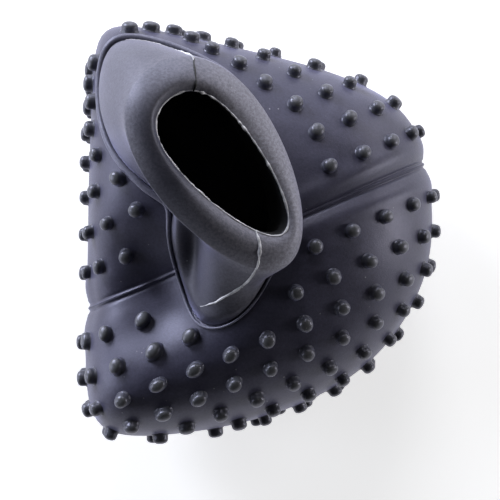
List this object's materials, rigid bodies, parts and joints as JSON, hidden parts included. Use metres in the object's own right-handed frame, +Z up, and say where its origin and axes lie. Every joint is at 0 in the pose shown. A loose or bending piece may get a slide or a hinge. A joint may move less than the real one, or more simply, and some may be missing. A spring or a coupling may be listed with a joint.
{
  "type": "case opening friction ball",
  "caption": "Hollow studded rubber ball in its hand-squeezed shape, with a grooved seam and a flared, rolled-lip mouth on a leaning neck.",
  "frame": {"origin": "the middle of the bounding box's bottom, on the table that the flattened back's studs stand on", "axes": "+Z up out of the mouth side, +Y along the longest side towards the sharp corner, +X to the round side"},
  "size_m": [0.0908, 0.1054, 0.0813],
  "materials": {
    "shell_rubber": "matte dark blue-grey moulded rubber, dusty, slightly paler on the studs",
    "collar_rubber": "satin dark grey moulded rubber with a thin pale moulding line round the mouth and down the neck"
  },
  "bodies": {
    "ball": {"shell_upper_half": "shell_rubber", "shell_lower_half": "shell_rubber"},
    "neck": {"neck_collar": "collar_rubber"}
  },
  "joints": [
    {"name": "squeeze", "type": "slide", "parent": "ball", "child": "neck", "axis": [0, 0, -1], "range_m": [0, 0.01], "stiffness_N_per_m": 1500, "deforming": ["shell_upper_half", "shell_lower_half"]}
  ]
}
